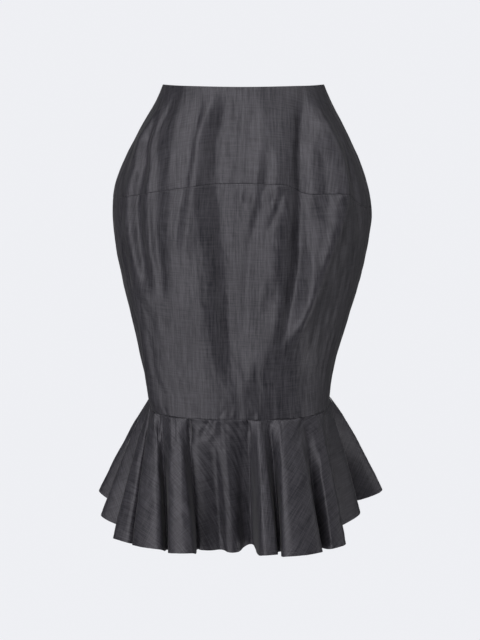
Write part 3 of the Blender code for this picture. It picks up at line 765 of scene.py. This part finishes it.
def bead():
    """One turn of the zip's coil: an oval lying across it, and its faces."""
    rings = [(BEAD_HALF * math.cos(t), BEAD_RADIUS * math.sin(t))
             for t in np.radians(np.linspace(0, 180, BEAD_RINGS))]
    points = [(along, reach * math.cos(a), reach * math.sin(a)) for along, reach in rings
              for a in np.radians(np.arange(BEAD_SIDES) * 360 / BEAD_SIDES)]
    corners = np.arange(BEAD_RINGS * BEAD_SIDES).reshape(BEAD_RINGS, BEAD_SIDES)
    onward = np.roll(corners, -1, axis=1)
    faces = np.stack([corners[:-1], onward[:-1], onward[1:], corners[1:]], -1).reshape(-1, 4)
    return np.array(points), faces


def make_zip():
    """The two tapes with a fine coil along their inner edges, closed below the slider."""
    top = float(through(WAIST_EDGE, 2.0)) + TAPE_TOP
    drop = np.linspace(top, top + TAPE_LENGTH, TAPE_ROWS)[:, None]
    closing = soft_step((drop - top - SLIDER_AT - CLOSING_AT) / CLOSING_OVER)
    inner = TAPE_NOTCH + (TAPE_MEET - TAPE_NOTCH) * closing
    aside = inner + (TAPE_HALF - inner) * np.linspace(0, 1, TAPE_COLUMNS)
    for side, sign in (("left", 1), ("right", -1)):
        grid = on_tape(sign * aside, drop + 0 * aside)[:, ::-sign] * MM
        flat = np.stack([aside, -drop + 0 * aside], -1)[:, ::-sign] * MM
        made = cloth(f"zip_tape_{side}", grid, flat, TAPE, "zip_tape")
    make_coil(top, drop[:, 0], inner[:, 0])


def make_coil(top, drop, inner):
    """Beads along both tapes' inner edges, the right one's between the left one's."""
    points, corners = bead()
    beads = []
    for sign, first in ((1, 0.0), (-1, 0.5)):
        for number in range(int((TAPE_LENGTH - 2 * COIL_END) / COIL_PITCH)):
            place = top + COIL_END + (number + first) * COIL_PITCH
            if place < top + SLIDER_AT + COIL_START:
                continue
            edge = float(np.interp(place, drop, inner))
            near, far = (on_tape(np.array(sign * (edge + reach)), np.array(place)) for reach in COIL_REACH)
            beads.append((near + far) / 2 - np.array([0, COIL_IN, 0]) + points)
    faces = [(corners + len(points) * number).tolist() for number in range(len(beads))]
    made = add_mesh("zip_coil", np.concatenate(beads) * MM, sum(faces, []), TAPE)
    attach(made, "skirt")
    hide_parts("zip_tape")


def finish_hard_parts():
    """The slider and its tab keep their solids, in metal."""
    for name in ("zip_slider", "pull_tab"):
        frame["nodes"][name].data.materials.clear()
        frame["nodes"][name].data.materials.append(METAL)


make_body()
make_flounce()
make_zip()
finish_hard_parts()


# --- Camera, light and floor ----------------------------------------------------------------
MIDDLE = (0, 0, -0.34)
CAMERA_AT, CAMERA_TO = (-0.0015, -2.2, 0.007), (-0.0015, 0, -0.349)
LENS = 83.57
# The lamps, named as the camera sees them: where each stands in degrees around and up, how wide
# and tall it is in metres, and its watts.
LAMP_AWAY = 2.4
Lamp = namedtuple("Lamp", "name azimuth height wide tall watts")
LAMPS = (
    Lamp("key", -23, 8, 1.8, 4.0, 40),
    Lamp("left", -66, 10, 1.4, 4.0, 5.5),
    Lamp("right", 46, 12, 1.6, 4.0, 5),
    Lamp("far_right", 92, 12, 1.6, 4.0, 8.5),
    Lamp("above", 5, 50, 1.4, 1.0, 8),
    Lamp("above_left", -55, 48, 1.4, 1.2, 6),
    Lamp("above_right", 58, 48, 1.4, 1.2, 5.5),
    Lamp("low_right", 74, -36, 1.0, 1.0, 5.2),
    Lamp("low_left", -56, -30, 1.4, 1.2, 6.0),
    Lamp("back", 176, 5, 2.0, 4.0, 55),
)
INSIDE_HEIGHTS, INSIDE_WATTS, INSIDE_SOFT = (-0.06, -0.27, -0.50), 0.16, 0.05     # in the hollow
PALE = (0.855, 0.863, 0.896)    # the studio's one colour
WORLD_STRENGTH = 0.05
FLOOR_HEIGHT = -1.25
FLOOR_REACH, FLOOR_BEND, WALL_HEIGHT = 3.0, 2.0, 7.0
FLOOR_CENTRE = 0.01             # radius of the face in its middle


def aimed(thing, place, target):
    """Stands a camera or lamp in its place, looking at the target."""
    thing.location = place
    thing.rotation_euler = (Vector(target) - Vector(place)).to_track_quat("-Z", "Y").to_euler()
    bpy.context.scene.collection.objects.link(thing)


def add_camera():
    """A long lens level with the waist, looking slightly down at the middle of the front."""
    camera = bpy.data.objects.new("camera", bpy.data.cameras.new("camera"))
    camera.data.lens = LENS
    camera.data.clip_end = 50
    aimed(camera, CAMERA_AT, CAMERA_TO)
    bpy.context.scene.camera = camera


def softbox(row):
    """A wide soft lamp that faces the skirt's middle."""
    around, up = math.radians(row.azimuth), math.radians(row.height)
    away = Vector((math.sin(around) * math.cos(up), -math.cos(around) * math.cos(up), math.sin(up)))
    lamp = bpy.data.lights.new(row.name, "AREA")
    lamp.shape = "RECTANGLE"
    lamp.size, lamp.size_y = row.wide, row.tall
    lamp.energy = row.watts
    box = bpy.data.objects.new(row.name, lamp)
    box.visible_camera = False
    aimed(box, Vector(MIDDLE) + away * LAMP_AWAY, MIDDLE)
    return box


def light_back_alone(lamp):
    """Lights the back's pieces only, so that the lamp leaves no rim on the front's edges."""
    lamp.light_linking.receiver_collection = bpy.data.collections.new("back_pieces")
    for thing in bpy.context.scene.objects:
        if thing.type == "MESH" and any(word in thing.name for word in ("back", "zip", "tab")):
            lamp.light_linking.receiver_collection.objects.link(thing)


def add_lamps():
    """Soft lamps all round, and small ones in the hollow so that its inside shows."""
    boxes = {row.name: softbox(row) for row in LAMPS}
    light_back_alone(boxes["back"])
    for number, height in enumerate(INSIDE_HEIGHTS):
        lamp = bpy.data.lights.new(f"inside_{number}", "POINT")
        lamp.energy = INSIDE_WATTS
        lamp.shadow_soft_size = INSIDE_SOFT
        glow = bpy.data.objects.new(f"inside_{number}", lamp)
        glow.visible_camera = False
        glow.location = (0, 0, height)
        bpy.context.scene.collection.objects.link(glow)


def add_world():
    """A faint even light from everywhere."""
    world = bpy.data.worlds.new("studio")
    world.use_nodes = True
    world.node_tree.nodes["Background"].inputs["Color"].default_value = (*PALE, 1)
    world.node_tree.nodes["Background"].inputs["Strength"].default_value = WORLD_STRENGTH
    bpy.context.scene.world = world
    bpy.context.scene.view_settings.view_transform = "Standard"


def bowl():
    """A pale round floor that curves up into a wall all round."""
    bend = [(FLOOR_REACH + FLOOR_BEND * math.sin(a), FLOOR_BEND - FLOOR_BEND * math.cos(a))
            for a in np.radians(np.linspace(10, 90, 9))]
    profile = [(FLOOR_CENTRE, 0), (FLOOR_REACH, 0), *bend, (FLOOR_REACH + FLOOR_BEND, WALL_HEIGHT)]
    bm = bmesh.new()
    rings = [[bm.verts.new((reach * math.cos(a), reach * math.sin(a), height + FLOOR_HEIGHT))
              for a in np.radians(np.arange(0, 360, 5))] for reach, height in profile]
    bm.faces.new(rings[0])
    for lower, upper in zip(rings, rings[1:]):
        for k in range(len(lower)):
            bm.faces.new((lower[k - 1], lower[k], upper[k], upper[k - 1]))
    mesh = bpy.data.meshes.new("floor")
    bm.to_mesh(mesh)
    bm.free()
    mesh.shade_smooth()
    made, _, shader = new_material("pale_floor", PALE, 0.9)
    shader.inputs["Base Color"].default_value = (0.02, 0.02, 0.021, 1)
    shader.inputs["Specular IOR Level"].default_value = 0.0
    shader.inputs["Emission Color"].default_value = (*PALE, 1)
    shader.inputs["Emission Strength"].default_value = 1.0
    mesh.materials.append(made)
    floor = bpy.data.objects.new("floor", mesh)
    floor.visible_glossy = False
    floor.visible_diffuse = False
    floor.visible_shadow = False
    bpy.context.scene.collection.objects.link(floor)


add_camera()
add_lamps()
add_world()
bowl()
